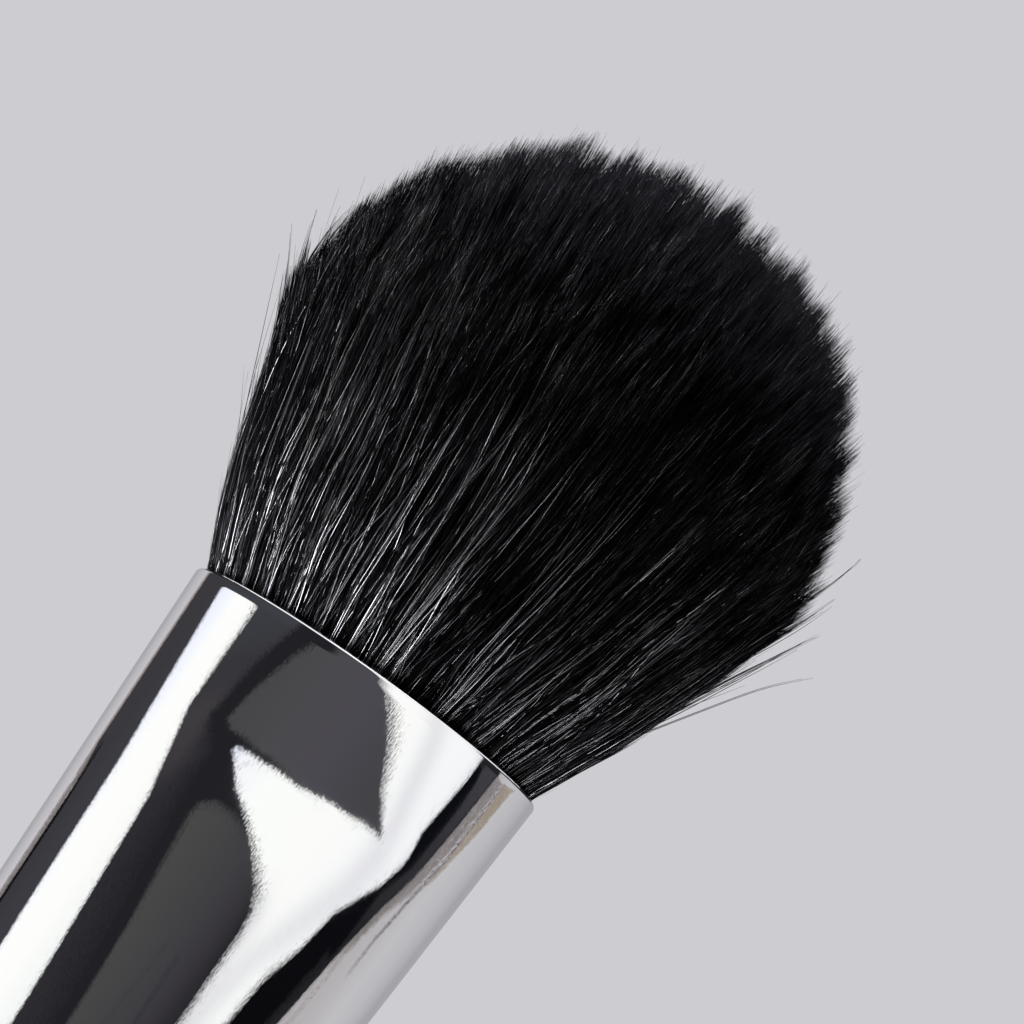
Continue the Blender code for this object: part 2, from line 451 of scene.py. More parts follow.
def tube_mesh(name, paths, radii, kinds, materials):
    """One mesh of closed three-sided tubes. paths is (hairs, points, 3) and radii (hairs, points), both in millimetres."""
    hairs, points, _ = paths.shape
    tangent = np.empty_like(paths)
    tangent[:, 1:-1] = paths[:, 2:] - paths[:, :-2]
    tangent[:, 0] = paths[:, 1] - paths[:, 0]
    tangent[:, -1] = paths[:, -1] - paths[:, -2]
    tangent /= np.linalg.norm(tangent, axis=2, keepdims=True)
    spin = np.arange(hairs) * 2.399963
    side = np.stack([np.cos(spin), np.sin(spin), np.zeros(hairs)], 1)[:, None, :]
    first = side - (side * tangent).sum(2, keepdims=True) * tangent
    first /= np.linalg.norm(first, axis=2, keepdims=True)
    second = np.cross(tangent, first)
    rings = []
    for k in range(3):
        a = 2 * math.pi * k / 3
        rings.append(
            paths + radii[:, :, None] * (math.cos(a) * first + math.sin(a) * second)
        )
    verts = np.stack(rings, 2).reshape(-1, 3) * MM
    base = (np.arange(hairs) * points * 3)[:, None, None, None]
    ring = (np.arange(points - 1) * 3)[None, :, None, None]
    k = np.arange(3)
    quad = np.stack([k, (k + 1) % 3, (k + 1) % 3 + 3, k + 3], 1)[None, None]
    quads = (base + ring + quad).reshape(hairs, -1)
    low = np.array([2, 1, 0])[None] + base[:, 0, 0]
    high = np.array([0, 1, 2])[None] + (points - 1) * 3 + base[:, 0, 0]
    loops = np.concatenate([quads, low, high], 1)
    sizes = np.concatenate([np.full((points - 1) * 3, 4), [3, 3]])
    starts = np.concatenate([[0], np.cumsum(sizes)[:-1]])
    all_starts = (np.arange(hairs)[:, None] * loops.shape[1] + starts[None]).ravel()
    mesh = bpy.data.meshes.new(name)
    mesh.vertices.add(len(verts))
    mesh.vertices.foreach_set("co", verts.astype(np.float32).ravel())
    mesh.loops.add(loops.size)
    mesh.loops.foreach_set("vertex_index", loops.astype(np.int32).ravel())
    mesh.polygons.add(len(all_starts))
    mesh.polygons.foreach_set("loop_start", all_starts.astype(np.int32))
    for material in materials:
        mesh.materials.append(material)
    mesh.polygons.foreach_set(
        "material_index", np.repeat(kinds, len(sizes)).astype(np.int32)
    )
    mesh.update(calc_edges=True)
    mesh.shade_smooth()
    piece = bpy.data.objects.new(name, mesh)
    bpy.context.scene.collection.objects.link(piece)
    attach(piece, "root")
    return piece


def deal(rng, lock, locks_made, shares=None, alike=0.5):
    """A kind for each hair, by the kinds' shares. Hairs of one lock tend to be alike."""
    value = alike * rng.normal(0, 1, locks_made)[lock] + rng.normal(0, 1, len(lock))
    rank = np.empty(len(lock))
    rank[np.argsort(value, kind="stable")] = (np.arange(len(lock)) + 0.5) / len(lock)
    shares = np.cumsum([k[0] for k in HAIR_KINDS] if shares is None else shares)
    return np.searchsorted(shares / shares[-1], rank)


def head_shift(rise):
    """The head sits a little to one side of the axis."""
    return np.interp(rise, [3, 12, 20, 25, 30], [0, 0.26, 0.24, 0.34, 0.55])


def make_core(material):
    """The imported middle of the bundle: what lies under the outer millimetres of hair."""
    profile = [(0.0, 124.2), (8.4, 124.2), (8.7, 124.5), (8.7, 131.1), (9.3, 132.5)]
    profile += [(9.45, 136.0), (9.3, 138.0)]
    for i in range(1, 26):
        rise = 12.6 * i / 25
        profile.append((float(hair_spread(rise)) * (0.9 - 0.03 * i / 25), MOUTH_Z + rise))
    depth = 3.2
    for i in range(1, 40):
        u = i / 40
        share = 0.87 * math.cos(math.pi / 2 * u)
        rise = float(tip_rise(share)) - depth
        if rise > 12.7:
            profile.append((share * float(hair_spread(rise)), MOUTH_Z + rise))
    profile.append((0.0, MOUTH_Z + DOME_RISE - depth))
    piece = turned("hair_core", profile, material, sides=160, sharp=60)
    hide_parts("tuft")
    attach(piece, "root")
    return piece


def make_hair(materials):
    """The bundle's hairs: whole ones in the outer layer, and the tips of the rest, which end on the dome."""
    rng = np.random.default_rng(20)
    total = 76000
    turn = rng.uniform(0, 2 * math.pi, total)
    out = np.sqrt(rng.uniform(0, 1, total))
    root = np.stack([out * np.cos(turn), out * np.sin(turn)], 1)

    # hairs gather into pointed locks near their tips, small ones within larger ones
    small, small_d, small_i, n_small = locks(root, rng, 0.56)
    large, large_d, large_i, n_large = locks(root, rng, 1.30)
    small_pull = rng.uniform(0.55, 0.97, n_small)[small_i] * rng.uniform(0.85, 1.0, total)
    large_pull = rng.uniform(0.0, 0.30, n_large)[large_i]

    # sideways lean in millimetres at the tip, in each lock and each hair
    lean = rng.normal(0, 0.26, (n_small, 2))[small_i]
    lean += rng.normal(0, 0.17, (n_large, 2))[large_i]
    lean += rng.normal(0, 0.24, (total, 2))
    wild = rng.uniform(0, 1, total) < 0.05
    lean[wild] += rng.normal(0, 1.0, (wild.sum(), 2))

    # how far the tips stand off the bundle, outwards
    peel = np.abs(rng.normal(0, 0.23, n_large))[large_i]
    peel += np.abs(rng.normal(0, 0.16, n_small))[small_i] + rng.normal(0, 0.08, total)

    # each hair's own long waves
    wave = rng.normal(0, 0.08, (total, 2)) * np.where(rng.uniform(0, 1, total) < 0.15, 2.4, 1)[:, None]
    wave_long = rng.uniform(10, 24, total)
    wave_at = rng.uniform(0, 1, (total, 2))
    crook = rng.normal(0, 0.013, (total, 2))
    crook_long = rng.uniform(3.0, 6.0, total)

    seed = int(rng.integers(1 << 30))

    def paths_at(index, rise, ends=None):
        """Centre lines at these heights above the mouth, in millimetres."""
        full = np.maximum((rough_tip if ends is None else ends)[index][:, None], 5)
        share = np.clip(rise / full, 0, 1.05)
        gather = smooth(-6.0, 0.3, rise - full)
        place = root[index][:, None, :] + (small - root)[index][:, None, :] * (
            small_pull[index][:, None] * gather
        )[..., None]
        place = place + (large - root)[index][:, None, :] * (
            large_pull[index][:, None] * (1 - small_pull[index][:, None] * 0.5) * gather
        )[..., None]
        radius = hair_spread(rise)
        xy = place * radius[..., None]
        xy = xy + lean[index][:, None, :] * (share**1.3)[..., None]
        ramp = smooth(-1.5, 4.0, rise)[..., None]
        field = np.random.default_rng(seed)
        xy = xy + ramp * drift(field, root[index], rise, 14, 3.4, 30.0, 0.17)
        xy = xy + ramp * drift(field, root[index], rise, 14, 1.3, 24.0, 0.10)
        turns = wave_at[index][:, None, :] + rise[..., None] / wave_long[index][:, None, None]
        xy = xy + ramp * wave[index][:, None, :] * np.sin(2 * math.pi * turns)
        turns = wave_at[index][:, None, ::-1] + rise[..., None] / crook_long[index][:, None, None]
        xy = xy + ramp * crook[index][:, None, :] * np.sin(2 * math.pi * turns)
        reach = np.linalg.norm(xy, axis=2) / radius
        loose = 0.30 + 0.2 * smooth(4, 14, rise)
        held = np.where(reach > 0.97, 0.97 + (reach - 0.97) * loose, reach)
        held = held * (1 - 0.014 * smooth(5, 10, rise) + 0.027 * smooth(13.5, 20, rise))
        held = held + (peel[index][:, None] * gather**2) / radius * smooth(0.5, 0.95, out[index])[:, None]
        xy = xy * (held / np.maximum(reach, 1e-6))[..., None]
        xy[..., 0] += head_shift(rise)
        return np.concatenate([xy, (rise + MOUTH_Z)[..., None]], 2)

    every = np.arange(total)
    rough_tip = tip_rise(np.minimum(out, 0.999))
    for _ in range(2):
        ends = paths_at(every, rough_tip[:, None])[:, 0, :2]
        ends[:, 0] -= head_shift(rough_tip)
        reach = np.linalg.norm(ends, axis=1) / hair_spread(rough_tip)
        rough_tip = tip_rise(np.minimum(reach, 1.0))
    tip = rough_tip + 1.15
    tip += rng.normal(0, 0.24, n_small)[small_i] + rng.normal(0, 0.10, n_large)[large_i]
    tip -= np.where(rng.uniform(0, 1, n_small) < 0.50, rng.exponential(0.58, n_small), 0)[small_i]
    tip -= 1.05 * np.minimum(small_d / 0.31, 1.4) ** 2.2
    tip -= 0.25 * np.minimum(large_d / 0.65, 1.4) ** 1.5
    # the locks at the bundle's side end one below the other
    side = np.linalg.norm(large, axis=1) > 0.84
    step = np.where(rng.uniform(0, 1, n_large) < 0.35, rng.uniform(0.3, 1.7, n_large), 0)
    tip -= np.where(side, step[large_i], 0)
    side = np.linalg.norm(small, axis=1) > 0.88
    step = np.where(rng.uniform(0, 1, n_small) < 0.45, rng.uniform(0.2, 3.5, n_small), 0)
    tip -= np.where(side, step[small_i], 0)
    ragged = rng.uniform(0, 1, total)
    tip += np.where(
        ragged < 0.66,
        rng.normal(-0.08, 0.12, total),
        np.where(ragged < 0.988, -rng.exponential(2.6, total), rng.normal(0.5, 0.3, total)),
    )
    tip = np.maximum(tip, 4.5)

    kinds = deal(rng, small_i, n_small)
    # the hairs whose tips make the dome mostly take the lighter dull kind: painted haze of light on the dome
    dull = rng.uniform(0, 1, total) < 0.85 * (1 - smooth(0.40, 0.88, out))
    kinds[dull & (kinds < 3)] = TIP_KIND
    thick = rng.normal(0.037, 0.009, total).clip(0.022, 0.066)

    pieces = []
    deep = out < 0.87
    groups = ((~deep, 13, "hair_outer"), (deep, 6, "hair_tips"))
    for chosen, points, name in groups:
        index = np.nonzero(chosen)[0]
        if name == "hair_outer":
            start = np.full(len(index), -1.4)
        else:
            start = tip[index] - 6.5
        steps = np.linspace(0, 1, points)
        rise = start[:, None] + (tip[index] - start)[:, None] * steps[None]
        paths = paths_at(index, rise, tip)
        left = (tip[index][:, None] - rise)
        radii = thick[index][:, None] * np.clip((left + 0.12) / 9.0, 0.01, 1) ** 0.56
        radii = np.maximum(radii, 0.004)
        per_piece = 190000 // ((points - 1) * 6 + 2)
        order = np.argsort(np.arctan2(root[index, 1], root[index, 0]), kind="stable")
        for n, first in enumerate(range(0, len(index), per_piece)):
            part = order[first : first + per_piece]
            pieces.append(
                tube_mesh(
                    f"{name}_{n + 1}",
                    paths[part],
                    radii[part],
                    kinds[index][part],
                    materials,
                )
            )
    return pieces


def make_cover(materials):
    """Long hairs that lie over the bundle's surface, in bundles that meet at the mouth, and cross one another at small angles."""
    rng = np.random.default_rng(11)
    total, points = 3600, 20
    turn = rng.uniform(0, 2 * math.pi, total)
    bundle = rng.uniform(0, 2 * math.pi, 70)
    apart = (bundle[None] - turn[:, None] + math.pi) % (2 * math.pi) - math.pi
    nearest = np.abs(apart).argmin(1)
    apart = apart[np.arange(total), nearest]
    together = rng.uniform(0, 0.55, total) * apart
    tip = np.maximum(rng.uniform(5, 23, total), rng.uniform(4, 20, total))
    # many show for a few millimetres above the mouth, before others cover them
    tip = np.where(rng.uniform(0, 1, total) < 0.36, rng.uniform(1.5, 8.0, total), tip)
    tip = np.minimum(tip, rng.uniform(15, 21, total))
    share = np.linspace(0, 1, points)[None]
    rise = -1.2 + (tip[:, None] + 1.2) * share
    aside = rng.normal(0, 0.9, total)[:, None] * share**1.5
    curl = rng.normal(0, 0.16, total) * np.where(rng.uniform(0, 1, total) < 0.25, 2.0, 1)
    long = rng.uniform(8, 20, total)
    at = rng.uniform(0, 1, total)
    curl = curl[:, None] * np.sin(2 * math.pi * (at[:, None] + rise / long[:, None]))
    aside = aside + curl * smooth(-0.5, 4, rise)
    low = hair_spread(rise)
    full = low * (1 + (low / dome_r(rise - 0.9)) ** 24) ** (-1 / 24)
    full = full * (1 - 0.014 * smooth(5, 10, rise) + 0.014 * smooth(13.5, 20, rise))
    radius = full * (1.004 - 0.024 * rng.uniform(0, 1, total)[:, None] ** 1.5)
    radius = radius + np.abs(rng.normal(0, 0.12, total))[:, None] * share**2
    angle = turn[:, None] + together[:, None] * smooth(9, -1, rise) + aside / radius
    paths = np.stack(
        [radius * np.cos(angle) + head_shift(rise), radius * np.sin(angle), rise + MOUTH_Z], 2
    )
    kinds = deal(rng, nearest, len(bundle), (0.61, 0.14, 0.09, 0.09, 0.07), 0.3)
    thick = rng.normal(0.031, 0.006, total).clip(0.020, 0.050)
    radii = thick[:, None] * np.clip((tip[:, None] - rise + 0.1) / 7.0, 0.01, 1) ** 0.62
    radii = np.maximum(radii, 0.004)
    order = np.argsort(turn, kind="stable")
    return [
        tube_mesh(f"hair_cover_{n + 1}", paths[part], radii[part], kinds[part], materials)
        for n, part in enumerate(np.array_split(order, 3))
    ]


def make_dome_cover(materials):
    """Thin hairs that lie over the bundle where the dome begins, and end there."""
    rng = np.random.default_rng(12)
    total, points = 1200, 10
    turn = rng.uniform(0, 2 * math.pi, total)
    tip = rng.uniform(14, 22, total)
    start = tip - rng.uniform(5, 9, total)
    share = np.linspace(0, 1, points)[None]
    rise = start[:, None] + (tip - start)[:, None] * share
    low = hair_spread(rise)
    radius = low * (1 + (low / dome_r(rise - 0.75)) ** 12) ** (-1 / 12)
    radius = radius - 0.4 * (1 - share) ** 2 + rng.normal(-0.1, 0.12, total)[:, None]
    aside = rng.normal(0, 0.45, total)[:, None] * share**1.4
    aside = aside + rng.normal(0, 0.08, total)[:, None] * np.sin(
        2 * math.pi * (rng.uniform(0, 1, total)[:, None] + rise / 12)
    )
    angle = turn[:, None] + aside / radius
    paths = np.stack(
        [radius * np.cos(angle) + head_shift(rise), radius * np.sin(angle), rise + MOUTH_Z], 2
    )
    kinds = deal(rng, rng.integers(0, 60, total), 60, (0.30, 0.25, 0.18, 0.16, 0.11))
    thick = rng.normal(0.021, 0.004, total).clip(0.014, 0.032)
    radii = thick[:, None] * np.clip((tip[:, None] - rise + 0.1) / 4.0, 0.01, 1) ** 0.6
    return tube_mesh("hair_dome", paths, np.maximum(radii, 0.004), kinds, materials)


def smooth_line(points, count=16):
    """A smooth line through (side, depth, rise) points in millimetres."""
    points = np.array(points, float)
    t = np.linspace(0, 1, len(points))
    fine = np.linspace(0, 1, count)
    path = np.stack([np.interp(fine, t, points[:, k]) for k in range(3)], 1)
    for _ in range(3):
        path[1:-1] = (path[:-2] + 2 * path[1:-1] + path[2:]) / 4
    path[:, 2] += MOUTH_Z
    return path


def make_strays(materials):
    """Hairs that stand off the bundle: a few small locks at its sides whose hairs meet at their tips, and single fine ones all round."""
    rng = np.random.default_rng(5)
    # (hairs, spread at the bottom, points as side, depth, rise)
    wisps = [
        (1, 0.05, [(-11.0, -1.0, 1.0), (-13.1, -1.0, 5.4), (-14.79, -1.0, 9.8), (-15.43, -1.0, 11.7), (-16.21, -1.1, 13.6), (-16.99, -1.2, 15.5), (-17.74, -1.2, 17.2)]),
        (2, 0.20, [(-13.4, 0.6, 7.0), (-14.8, 0.6, 11.0), (-15.49, 0.6, 13.4), (-16.15, 0.6, 15.3), (-17.0, 0.7, 16.9), (-17.81, 0.8, 18.2)]),
        (4, 0.30, [(-14.0, -1.6, 10.4), (-15.3, -1.6, 14.3), (-16.14, -1.6, 16.7), (-16.6, -1.6, 18.0), (-17.07, -1.6, 19.3)]),
        (3, 0.25, [(-14.8, 1.4, 13.0), (-15.6, 1.4, 17.0), (-16.0, 1.5, 19.0), (-16.3, 1.5, 20.6)]),
        (2, 0.06, [(10.3, -1.0, 0.3), (12.0, -1.2, 4.0), (13.36, -1.4, 6.3), (15.24, -1.6, 9.2), (17.06, -1.8, 12.1), (18.2, -1.8, 13.3), (19.04, -1.8, 14.2)]),
        (7, 0.34, [(12.2, 0.4, 4.4), (13.5, 0.4, 7.0), (14.5, 0.5, 9.3), (15.73, 0.6, 12.1), (16.7, 0.7, 13.9), (17.4, 0.8, 15.3), (18.39, 0.8, 17.1)]),
        (5, 0.32, [(13.6, -1.8, 8.2), (14.6, -1.8, 11.0), (15.8, -1.8, 13.8), (16.7, -1.9, 16.0), (17.46, -1.9, 17.9)]),
        (5, 0.30, [(14.4, 1.6, 10.5), (15.4, 1.6, 13.0), (16.5, 1.6, 15.6), (17.2, 1.6, 17.2), (17.88, 1.6, 19.1)]),
        (3, 0.25, [(15.2, -0.6, 14.0), (16.3, -0.6, 17.2), (17.1, -0.6, 19.6), (17.5, -0.6, 21.2)]),
    ]
    paths, radii = [], []
    taper = np.clip(1 - np.linspace(0, 1, 16), 0.1, 1) ** 0.6
    for hairs, spread, points in wisps:
        for _ in range(hairs):
            path = smooth_line(points)
            apart = rng.normal(0, spread, 3) * np.array([1, 1, 0.6])
            together = (1 - np.linspace(0, 1, 16)) ** 1.3
            path += apart * together[:, None] + rng.normal(0, 0.05, 3)
            # The lower end lies inside the bundle, so that no hair starts in the air.
            low = path[0, 2] - MOUTH_Z
            root = np.array([path[0, 0] - float(head_shift(low)), path[0, 1], 0.0])
            pull = max(0.0, 1 - 0.94 * float(hair_spread(low)) / math.hypot(root[0], root[1]))
            path -= root * pull * (together**2.3)[:, None]
            tip_cut = rng.uniform(0.82, 1.0)
            fine = np.linspace(0, tip_cut * 15, 16)
            path = np.stack([np.interp(fine, np.arange(16), path[:, k]) for k in range(3)], 1)
            paths.append(path)
            radii.append(0.034 * taper)
    for _ in range(150):
        turn = rng.uniform(0, 2 * math.pi)
        out = rng.uniform(0.90, 1.0)
        lean = abs(rng.normal(0, 0.030)) + 0.008
        length = rng.uniform(0.55, 1.04) * float(tip_rise(out))
        rise = np.linspace(0.5, length + abs(rng.normal(0, 0.7)), 16)
        share = out + lean * (rise / rise[-1]) ** 2.2
        bend = turn + rng.normal(0, 0.05) * (rise / rise[-1]) ** 2
        radius = hair_spread(rise) * share
        paths.append(
            np.stack([radius * np.cos(bend), radius * np.sin(bend), rise + MOUTH_Z], 1)
        )
        radii.append(0.026 * taper)
    kinds = rng.choice([0, 0, 1, 1, 2], len(paths))
    return tube_mesh("hair_strays", np.array(paths), np.array(radii), kinds, materials)


# ------------------------------------------------------------------- stage

PALE = (0.610, 0.604, 0.638)
BLUISH = (0.93, 0.92, 1.0)


def group(name, pieces):
    """A collection that lights are linked to: they light only what is in it."""
    made = bpy.data.collections.new(name)
    for piece in pieces:
        made.objects.link(piece)
    return made


FLAT = 0.28  # one degree of a card shows on the ferrule as wide as this many millimetres of its height
CARD_PX = 6.5  # and a millimetre of its height as this many pixels
CARD_R = 0.600


def seen(red, green, blue):
    """The glow that shows as this display colour, 0 to 255, in the plating."""
    found = []
    for value, mirror in ((red, 0.925), (green, 0.93), (blue, 0.945)):
        v = value / 255
        v = v / 12.92 if v <= 0.04045 else ((v + 0.055) / 1.055) ** 2.4
        found.append(v / mirror)
    return np.array(found)


def card_material():
    """A card's glow, from the colours painted on it, with slightly frayed edges."""
    made = bpy.data.materials.new("studio_card")
    made.use_nodes = True
    nodes, links = made.node_tree.nodes, made.node_tree.links
    nodes.remove(nodes["Principled BSDF"])
    colour = nodes.new("ShaderNodeAttribute")
    colour.attribute_name = "shade"
    glow = nodes.new("ShaderNodeEmission")
    links.new(colour.outputs["Color"], glow.inputs["Color"])
    flat = nodes.new("ShaderNodeAttribute")
    flat.attribute_name = "flat"
    thread = nodes.new("ShaderNodeTexNoise")
    thread.inputs["Scale"].default_value = 4.4
    thread.inputs["Detail"].default_value = 0.0
    links.new(flat.outputs["Vector"], thread.inputs["Vector"])
    edge = nodes.new("ShaderNodeAttribute")
    edge.attribute_name = "glow"
    fray = nodes.new("ShaderNodeMath")
    fray.operation = "MULTIPLY_ADD"
    fray.inputs[1].default_value = 3.4
    links.new(thread.outputs["Fac"], fray.inputs[0])
    links.new(edge.outputs["Fac"], fray.inputs[2])
    solid = nodes.new("ShaderNodeMapRange")
    solid.interpolation_type = "SMOOTHSTEP"
    solid.inputs["From Min"].default_value = 1.94
    solid.inputs["From Max"].default_value = 2.40
    links.new(fray.outputs["Value"], solid.inputs["Value"])
    clear = nodes.new("ShaderNodeBsdfTransparent")
    mix = nodes.new("ShaderNodeMixShader")
    links.new(solid.outputs["Result"], mix.inputs["Fac"])
    links.new(clear.outputs[0], mix.inputs[1])
    links.new(glow.outputs[0], mix.inputs[2])
    links.new(mix.outputs[0], nodes["Material Output"].inputs["Surface"])
    return made


def resampled(outline):
    """The closed outline, in millimetres on the card's flat map, with its softness and with no long sides."""
    found = []
    for (a, z, s), (b, y, t) in zip(outline, outline[1:] + outline[:1]):
        step = 1.0 if min(z, y) < 172 and max(z, y) > 74 else 3.0
        count = max(1, math.ceil(math.hypot((b - a) * FLAT, y - z) / step))
        for k in range(count):
            u = k / count
            found.append(((a + (b - a) * u) * FLAT, z + (y - z) * u, s + (t - s) * u))
    return np.array(found)


def distance_to(points, ring):
    """Distance from each point to a closed ring of points, and the ring's softness there."""
    start, end = ring[:, :2], np.roll(ring[:, :2], -1, 0)
    along = end - start
    size = np.maximum((along**2).sum(1), 1e-12)
    best = np.full(len(points), 1e9)
    soft = np.zeros(len(points))
    for k in range(len(ring)):
        away = points - start[k]
        u = np.clip((away @ along[k]) / size[k], 0, 1)
        d = np.hypot(*(away - u[:, None] * along[k]).T)
        near = d < best
        best[near] = d[near]
        soft[near] = (ring[k, 2] + (ring[(k + 1) % len(ring), 2] - ring[k, 2]) * u)[near]
    return best, soft


def panel(name, seen_by, layer, outline, shade, material):
    """A studio card that stands on the cylinder round the brush. outline is (azimuth in degrees, height in millimetres, softness of the edge in pixels), and azimuth 0 is towards the camera and positive to its right. shade gives the colours at azimuths and heights. A card of a higher layer stands in front."""
    ring = resampled([(a, z, s * 1.3 + 1.0) for a, z, s in outline])
    nxt = np.roll(ring[:, :2], -1, 0)
    area = (ring[:, 0] * nxt[:, 1] - nxt[:, 0] * ring[:, 1]).sum()
    if area < 0:
        ring = ring[::-1].copy()
    along = np.roll(ring[:, :2], -1, 0) - np.roll(ring[:, :2], 1, 0)
    along /= np.maximum(np.linalg.norm(along, axis=1, keepdims=True), 1e-9)
    inward = np.stack([-along[:, 1], along[:, 0]], 1)
    width = np.maximum(ring[:, 2], 0.8) / CARD_PX
    inner = []
    for part in (0.5, 1.0):
        moved = ring[:, :2] + inward * (width * part)[:, None]
        away, _ = distance_to(moved, ring)
        inner.append(moved[away > width * part * 0.85])
    low, high = ring[:, :2].min(0), ring[:, :2].max(0)
    gx = np.arange(low[0] + 0.5, high[0], 1.1)
    gy = np.concatenate([np.arange(low[1] + 1, min(high[1], 172), 3.0), np.arange(176, high[1], 8.0)])
    grid = np.stack(np.meshgrid(gx, gy), -1).reshape(-1, 2)
    away, soft = distance_to(grid, ring)
    inner.append(grid[away > soft / CARD_PX + 0.4])
    points = np.concatenate([ring[:, :2], *inner])
    count = len(ring)
    sides = [(k, (k + 1) % count) for k in range(count)]
    flat, _, faces, _, _, _ = delaunay_2d_cdt(
        [Vector(p) for p in points], sides, [list(range(count))], 1, 1e-6
    )
    flat = np.array([tuple(p) for p in flat])
    azimuth, height = flat[:, 0] / FLAT, flat[:, 1]
    away, soft = distance_to(flat, ring)
    glow = np.clip(away * CARD_PX / np.maximum(soft, 0.8), 0, 2)
    radius = CARD_R + (20 - layer) * 0.001
    turn = np.radians(azimuth)
    verts = np.stack([radius * np.sin(turn), -radius * np.cos(turn), height * MM], 1)
    mesh = bpy.data.meshes.new(name)
    mesh.from_pydata(verts.tolist(), [], faces)
    layer = mesh.attributes.new("glow", "FLOAT", "POINT")
    layer.data.foreach_set("value", glow.astype(np.float32))
    layer = mesh.attributes.new("flat", "FLOAT_VECTOR", "POINT")
    place = np.stack([flat[:, 0] * 1.1, flat[:, 1] * 0.9, np.zeros(len(flat))], 1)
    layer.data.foreach_set("vector", place.astype(np.float32).ravel())
    colour = np.ones((len(flat), 4))
    colour[:, :3] = shade(azimuth, height)
    layer = mesh.attributes.new("shade", "FLOAT_COLOR", "POINT")
    layer.data.foreach_set("color", colour.astype(np.float32).ravel())
    mesh.materials.append(material)
    piece = bpy.data.objects.new(name, mesh)
    bpy.context.scene.collection.objects.link(piece)
    piece.visible_camera = False
    piece.visible_diffuse = False
    piece.visible_shadow = False
    piece.visible_transmission = False
    piece.visible_volume_scatter = False
    piece.light_linking.receiver_collection = seen_by
    return piece


def plain(*colour):
    return lambda azimuth, height: np.tile(seen(*colour), (len(azimuth), 1))


def blend(by_height, *stops):
    """Colours between stops of (azimuth or height, display colour)."""
    at = [s[0] for s in stops]
    colours = np.array([seen(*s[1]) for s in stops])

    def shade(azimuth, height):
        value = height if by_height else azimuth
        return np.stack([np.interp(value, at, colours[:, k]) for k in range(3)], 1)

    return shade


def ribbon(line, width, soft):
    """The outline of a band along a line of (azimuth, height), width degrees wide."""
    up = [(a - width / 2, z, soft) for a, z in line]
    down = [(a + width / 2, z, soft) for a, z in reversed(line)]
    return up + down


# edges of the studio's cards, as corners of (azimuth, height), or with the softness of the edge as well
CLOTH_EDGE = [(44, 1), (70, 85), (77, 107), (81.5, 121), (86.5, 131.5), (93, 141), (95.5, 152), (96.5, 161), (97, 175), (98, 300)]
CLOTH_SEAM = [(52, 1), (78, 90), (84, 110), (86, 124), (91.5, 137), (98, 148), (99, 158)]
CLOTH_FOLD = [(98, 124), (98, 131), (101.5, 140.5), (106, 151), (106, 163), (107, 175)]
PALE_EDGE = [(101.5, 140.5), (109, 148), (116, 161), (120, 185)]
WHITE_CARD = [
    (3, 160, 10), (8.5, 143.5, 12), (23, 139.3, 14), (38.5, 134, 8), (51, 132, 5), (56, 131.8, 3),
    (31, 127, 2), (8.5, 124.5, 2), (-0.5, 124, 2), (-22, 125, 2), (-41.5, 127.2, 2), (-42.5, 126.4, 2),
    (-27.5, 119.5, 2), (-8.5, 114, 5), (14, 107.6, 11), (20, 104.6, 5), (21.5, 101.5, 5), (23, 88, 6), (26, 1, 6),
    (38, 1, 6), (45, 70, 6), (52.5, 102.5, 5), (59.5, 111.5, 3), (63, 119.6, 2), (77, 131, 2), (81, 136.5, 2),
    (81, 138.5, 2), (78, 141.5, 2), (81, 153.5, 2), (80.5, 157, 2), (82, 520, 10), (-6, 520, 10),
]
MIDDLE_CARD = [
    (-27, 300, 6), (-27, 160, 6), (-30, 149, 6), (-39, 146.8, 7), (-45, 144, 6), (-53, 137.8, 4),
    (-56, 132.5, 2), (-50, 130, 2), (-31, 126.5, 2), (-6, 124.1, 2), (7.5, 123.4, 2), (20.5, 124.1, 2),
    (39, 127.3, 2), (55, 130.7, 2), (60, 134, 2), (50, 142, 2), (20, 150, 4),
    (9, 165, 4), (5, 300, 4),
]
GREY_CARD = [
    (-96, 60, 2), (-96, 100, 2), (-101, 172, 4), (-101, 300, 4), (-47, 300, 4), (-50, 149.5, 5), (-58, 142.5, 6),
    (-63.5, 134, 6), (-62, 132.5, 6), (-50.5, 126.5, 6), (-51, 122.5, 12), (-45, 104, 24), (-36.5, 80.5, 24),
    (-33, 60, 24),
]
LOW_CARD = [
    (-20, 1, 2), (-31, 81, 2), (-34, 93.5, 2), (-42.5, 114.5, 5), (-41, 116.8, 5), (-34, 117.5, 4),
    (-19, 116, 6), (14, 112, 8), (22, 106, 4), (26, 90, 4), (28, 1, 4),
]
STRIP_CARD = [
    (-95, 1, 2), (-97, 70, 2), (-103.2, 111, 2), (-105.5, 133.5, 2), (-115.5, 169, 2), (-112, 173, 2),
    (-89, 166, 3), (-82, 163.5, 4), (-79, 157, 6), (-80.5, 138, 2), (-68, 119, 2), (-59, 82, 2), (-48, 1, 2),
]


def white_shade(azimuth, height):
    """White, with the soft grey painted shade of two folds that run down it, and painted shade low by its left edge."""
    base = blend(False, (-42, (236, 238, 252)), (-34, (243, 245, 250)), (-15, (250, 252, 250)), (30, (250, 251, 249)), (60, (246, 247, 248)), (74, (243, 244, 246)), (81, (226, 228, 233)))(azimuth, height)
    fold = np.interp(height, [80, 102, 123, 132, 150], [29, 38, 60, 62, 44])
    wide = np.interp(height, [90, 125], [6, 9])
    # painted shade along the two folds, and low by the card's left edge
    painted_shade = 0.17 * np.exp(-(((azimuth - fold) / wide) ** 2))
    painted_shade += 0.26 * np.exp(-(((azimuth - 22) / 7) ** 2)) * smooth(112, 104, height)
    tint = np.array([1.0, 1.03, 0.86])
    return base * (1 - painted_shade[:, None] * tint)


